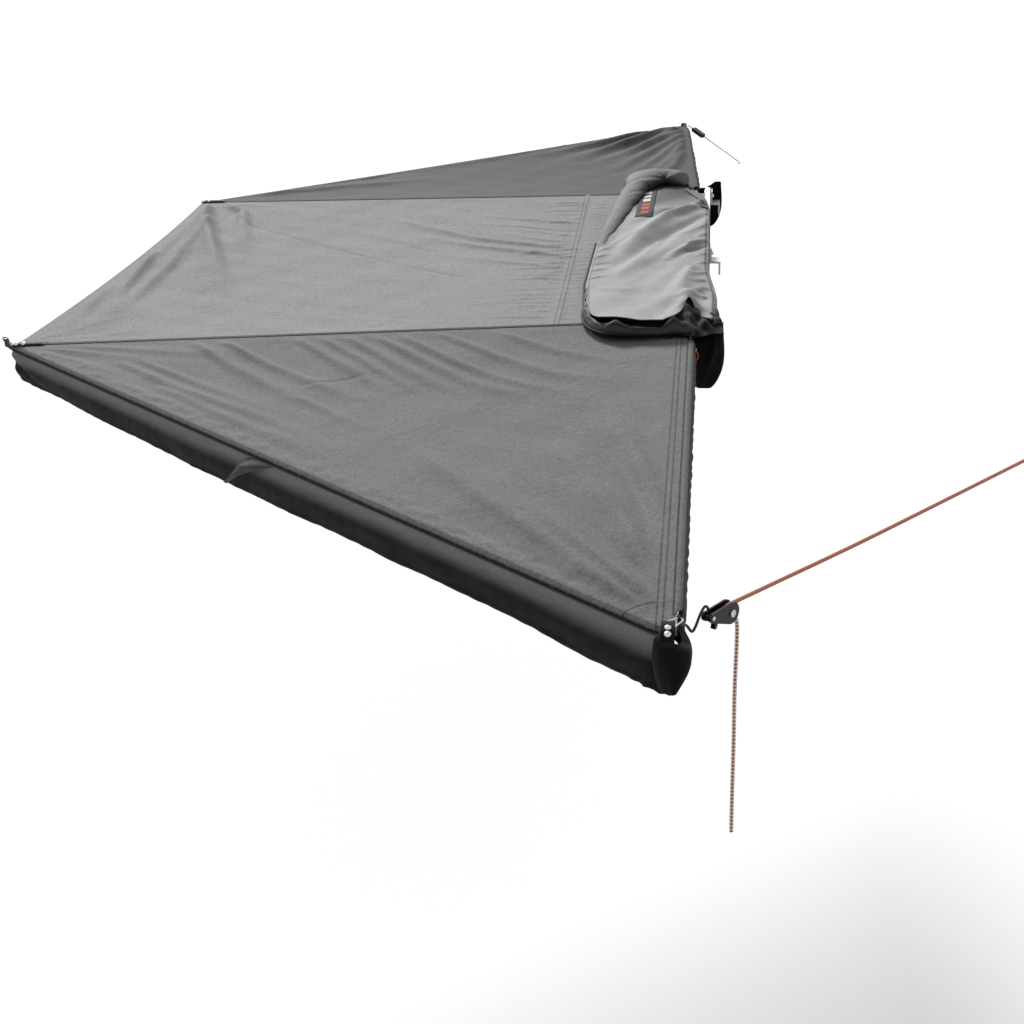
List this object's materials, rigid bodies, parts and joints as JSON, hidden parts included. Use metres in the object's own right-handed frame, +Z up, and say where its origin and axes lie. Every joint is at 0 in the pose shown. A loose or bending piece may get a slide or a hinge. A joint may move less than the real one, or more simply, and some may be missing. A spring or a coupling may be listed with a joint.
{
  "type": "vehicle side awning",
  "caption": "Fan-shaped side awning opened flat from a backing rail, with folding arms, canopy, valances, a thrown-back bag and guy ropes.",
  "frame": {"origin": "centre of the middle mounting bracket's vehicle-side face", "axes": "+X toward the vehicle, +Y toward its front along the rail, +Z up"},
  "size_m": [2.8832, 6.0791, 0.6382],
  "materials": {
    "anodised_aluminium": "satin anodised",
    "plated_steel": "bright zinc plate",
    "black_plastic": "moulded black nylon",
    "black_coated_metal": "semi-gloss black coating",
    "nylon_washer": "natural nylon",
    "canopy_cloth": "coated ripstop canvas",
    "valance_cloth": "black coated canvas",
    "cover_cloth": "grey coated canvas with a soft sheen",
    "lining_cloth": "black PVC-coated cloth",
    "rope_fibre": "braided polyester rope",
    "cord_fibre": "braided polyester cord",
    "orange_cord": "bright braided cord"
  },
  "bodies": {
    "rail_and_bag": {"backing_rail": "anodised_aluminium", "rail_end_cap_front": "black_plastic", "rail_end_cap_rear": "black_plastic", "mount_bracket_front": "anodised_aluminium", "mount_bracket_middle": "anodised_aluminium", "mount_bracket_rear": "anodised_aluminium", "bracket_bolt_front": "plated_steel", "bracket_bolt_middle": "plated_steel", "bracket_bolt_rear": "plated_steel", "hub_bracket_front": "anodised_aluminium", "hub_bracket_rear": "anodised_aluminium", "hub_pin_front": "plated_steel", "hub_pin_rear": "plated_steel", "hub_washer_front": "nylon_washer", "hub_washer_rear": "nylon_washer", "clamp_strip": "anodised_aluminium", "bag_back_panel": "lining_cloth", "bag_cover": "cover_cloth", "bag_lining_front": "lining_cloth", "bag_lining_rear": "lining_cloth", "zip_slider": "plated_steel", "canopy_middle_panel": "canopy_cloth", "valance_side": "valance_cloth"},
    "zip_pull": {"zip_pull_loop": "orange_cord"},
    "arm_1": {"arm_1_tube": "anodised_aluminium", "arm_1_knuckle": "black_coated_metal", "arm_1_tip": "black_plastic", "canopy_front_panel": "canopy_cloth", "valance_front": "valance_cloth", "side_flap_front": "valance_cloth"},
    "arm_2": {"arm_2_tube": "anodised_aluminium", "arm_2_knuckle": "black_coated_metal", "arm_2_tip": "black_plastic"},
    "arm_3": {"arm_3_tube": "anodised_aluminium", "arm_3_knuckle": "black_coated_metal", "arm_3_tip": "black_plastic"},
    "arm_4": {"arm_4_tube": "anodised_aluminium", "arm_4_knuckle": "black_coated_metal", "arm_4_tip": "black_plastic", "canopy_rear_panel": "canopy_cloth", "valance_rear": "valance_cloth", "side_flap_rear": "valance_cloth", "valance_strap": "lining_cloth"},
    "rear_guy": {"corner_ring_rear": "plated_steel", "rear_guy_hook": "black_coated_metal", "ratchet_cheek_left": "black_coated_metal", "ratchet_cheek_right": "black_coated_metal", "ratchet_axle": "plated_steel", "ratchet_hook_pin": "plated_steel", "rear_guy_rope": "rope_fibre", "rear_guy_tail": "rope_fibre", "rear_guy_end_hook": "plated_steel"},
    "ratchet_pulley": {"ratchet_pulley": "black_coated_metal"},
    "ratchet_lever": {"ratchet_lever": "black_coated_metal"},
    "front_ring": {"corner_ring_front": "plated_steel"},
    "front_guy": {"front_guy_cord": "cord_fibre", "front_guy_end_hook": "plated_steel"},
    "cord_tensioner": {"cord_tensioner": "black_plastic"}
  },
  "joints": [
    {"name": "arm_3_fold", "type": "hinge", "parent": "rail_and_bag", "child": "arm_3", "pos_m": [-0.0999, -1.02, -0.0441], "axis": [0, 0, -1], "range_deg": [0, 89], "deforming": ["canopy_middle_panel", "canopy_front_panel", "canopy_rear_panel", "valance_front", "valance_side", "valance_rear", "valance_strap", "side_flap_front", "side_flap_rear", "bag_cover"]},
    {"name": "arm_4_fold", "type": "hinge", "parent": "arm_3", "child": "arm_4", "pos_m": [-0.0999, -1.02, -0.0161], "axis": [0, 0, -1], "range_deg": [0, 89]},
    {"name": "arm_2_fold", "type": "hinge", "parent": "rail_and_bag", "child": "arm_2", "pos_m": [-0.0999, 1.02, 0.0119], "axis": [0, 0, 1], "range_deg": [0, 89]},
    {"name": "arm_1_fold", "type": "hinge", "parent": "arm_2", "child": "arm_1", "pos_m": [-0.0999, 1.02, 0.0399], "axis": [0, 0, 1], "range_deg": [0, 86.8]},
    {"name": "rear_guy_swing", "type": "hinge", "parent": "arm_4", "child": "rear_guy", "pos_m": [-0.0999, -3, 0.0054], "axis": [0, 0, 1], "range_deg": [0, 8]},
    {"name": "front_ring_swing", "type": "hinge", "parent": "arm_1", "child": "front_ring", "pos_m": [-0.17591, 2.99854, 0.0614], "axis": [0, 0, -1], "range_deg": [0, 20]},
    {"name": "front_guy_lift", "type": "hinge", "parent": "front_ring", "child": "front_guy", "pos_m": [-0.15239, 2.96495, 0.0614], "axis": [-0.8192, -0.5736, 0], "range_deg": [0, 17]},
    {"name": "tensioner_slide", "type": "slide", "parent": "front_guy", "child": "cord_tensioner", "axis": [0.5514, -0.7874, -0.2756], "range_m": [-0.035, 0.28]},
    {"name": "ratchet_pulley_spin", "type": "hinge", "parent": "rear_guy", "child": "ratchet_pulley", "pos_m": [0.00722, -2.86289, -0.0251], "axis": [-0.788, 0.6157, 0], "continuous": true},
    {"name": "ratchet_lever_press", "type": "hinge", "parent": "rear_guy", "child": "ratchet_lever", "pos_m": [-0.01432, -2.89047, -0.0251], "axis": [-0.788, 0.6157, 0], "range_deg": [0, 14], "stiffness_Nm_per_rad": 0.05},
    {"name": "zip_pull_swing", "type": "hinge", "parent": "rail_and_bag", "child": "zip_pull", "pos_m": [-0.07315, -1.1837, 0.02], "axis": [-1, 0, 0], "range_deg": [0, 75]}
  ],
  "couplings": [
    {"joint": "arm_4_fold", "follows": "arm_3_fold", "ratio": 1},
    {"joint": "arm_2_fold", "follows": "arm_3_fold", "ratio": 1},
    {"joint": "arm_1_fold", "follows": "arm_3_fold", "ratio": 0.97527},
    {"joint": "rear_guy_swing", "follows": "arm_3_fold", "ratio": 0.08988},
    {"joint": "front_ring_swing", "follows": "arm_3_fold", "ratio": 0.22471},
    {"joint": "front_guy_lift", "follows": "arm_3_fold", "ratio": 0.191}
  ]
}
